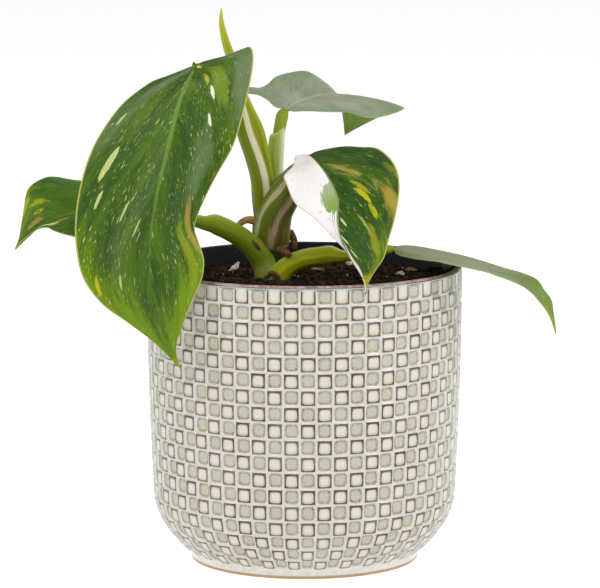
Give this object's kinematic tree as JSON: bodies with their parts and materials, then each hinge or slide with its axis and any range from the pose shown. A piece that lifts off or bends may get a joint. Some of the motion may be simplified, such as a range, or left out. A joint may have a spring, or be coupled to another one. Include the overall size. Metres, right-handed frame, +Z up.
{
  "type": "potted philodendron",
  "caption": "Variegated philodendron in a plastic nursery pot of peat, standing in a round glazed ceramic cachepot with a relief of small square tiles.",
  "frame": {"origin": "centre of the cachepot's flat base", "axes": "+Z up along the pot's axis, -Y towards the plant's front, +X to the right as seen from the front"},
  "size_m": [0.2376, 0.1776, 0.2455],
  "materials": {
    "glaze": "glossy celadon-white glaze that breaks brown on the tile edges and pools grey-green in the sunk cells, bare brown rim",
    "liner_plastic": "thin black thermoformed plastic, dusty",
    "peat": "damp dark peat with fibres",
    "stalk": "smooth waxy green stalk with pale stripes, satin",
    "leaf": "waxy green leaf with pale flecks along the side veins, satin",
    "leaf_variegated": "waxy leaf, half creamy white and half mottled green, satin",
    "dry_root": "dry brown aerial root and papery sheath",
    "perlite": "white expanded perlite, pitted and matt",
    "bark": "rough brown bark chip"
  },
  "bodies": {
    "root": {"cachepot": "glaze", "nursery_pot": "liner_plastic", "soil": "peat", "stem": "stalk", "petiole_front": "stalk", "petiole_left": "stalk", "petiole_back": "stalk", "petiole_right": "stalk", "petiole_low_right": "stalk", "sheath_back": "stalk", "new_leaf": "stalk", "basal_shoot": "stalk", "leaf_front": "leaf", "leaf_left": "leaf", "leaf_back": "leaf", "leaf_right": "leaf_variegated", "leaf_low_right": "leaf", "aerial_root_left": "dry_root", "aerial_root_front": "dry_root", "aerial_root_right": "dry_root", "dry_scale_left": "dry_root", "dry_husk": "dry_root", "soil_root_1": "dry_root", "soil_root_2": "dry_root", "soil_root_3": "dry_root", "soil_root_4": "dry_root", "perlite_1": "perlite", "perlite_2": "perlite", "perlite_3": "perlite", "perlite_4": "perlite", "perlite_5": "perlite", "perlite_6": "perlite", "perlite_7": "perlite", "bark_chip_1": "bark", "bark_chip_2": "bark", "bark_chip_3": "bark", "bark_chip_4": "bark", "bark_chip_5": "bark"}
  },
  "joints": []
}
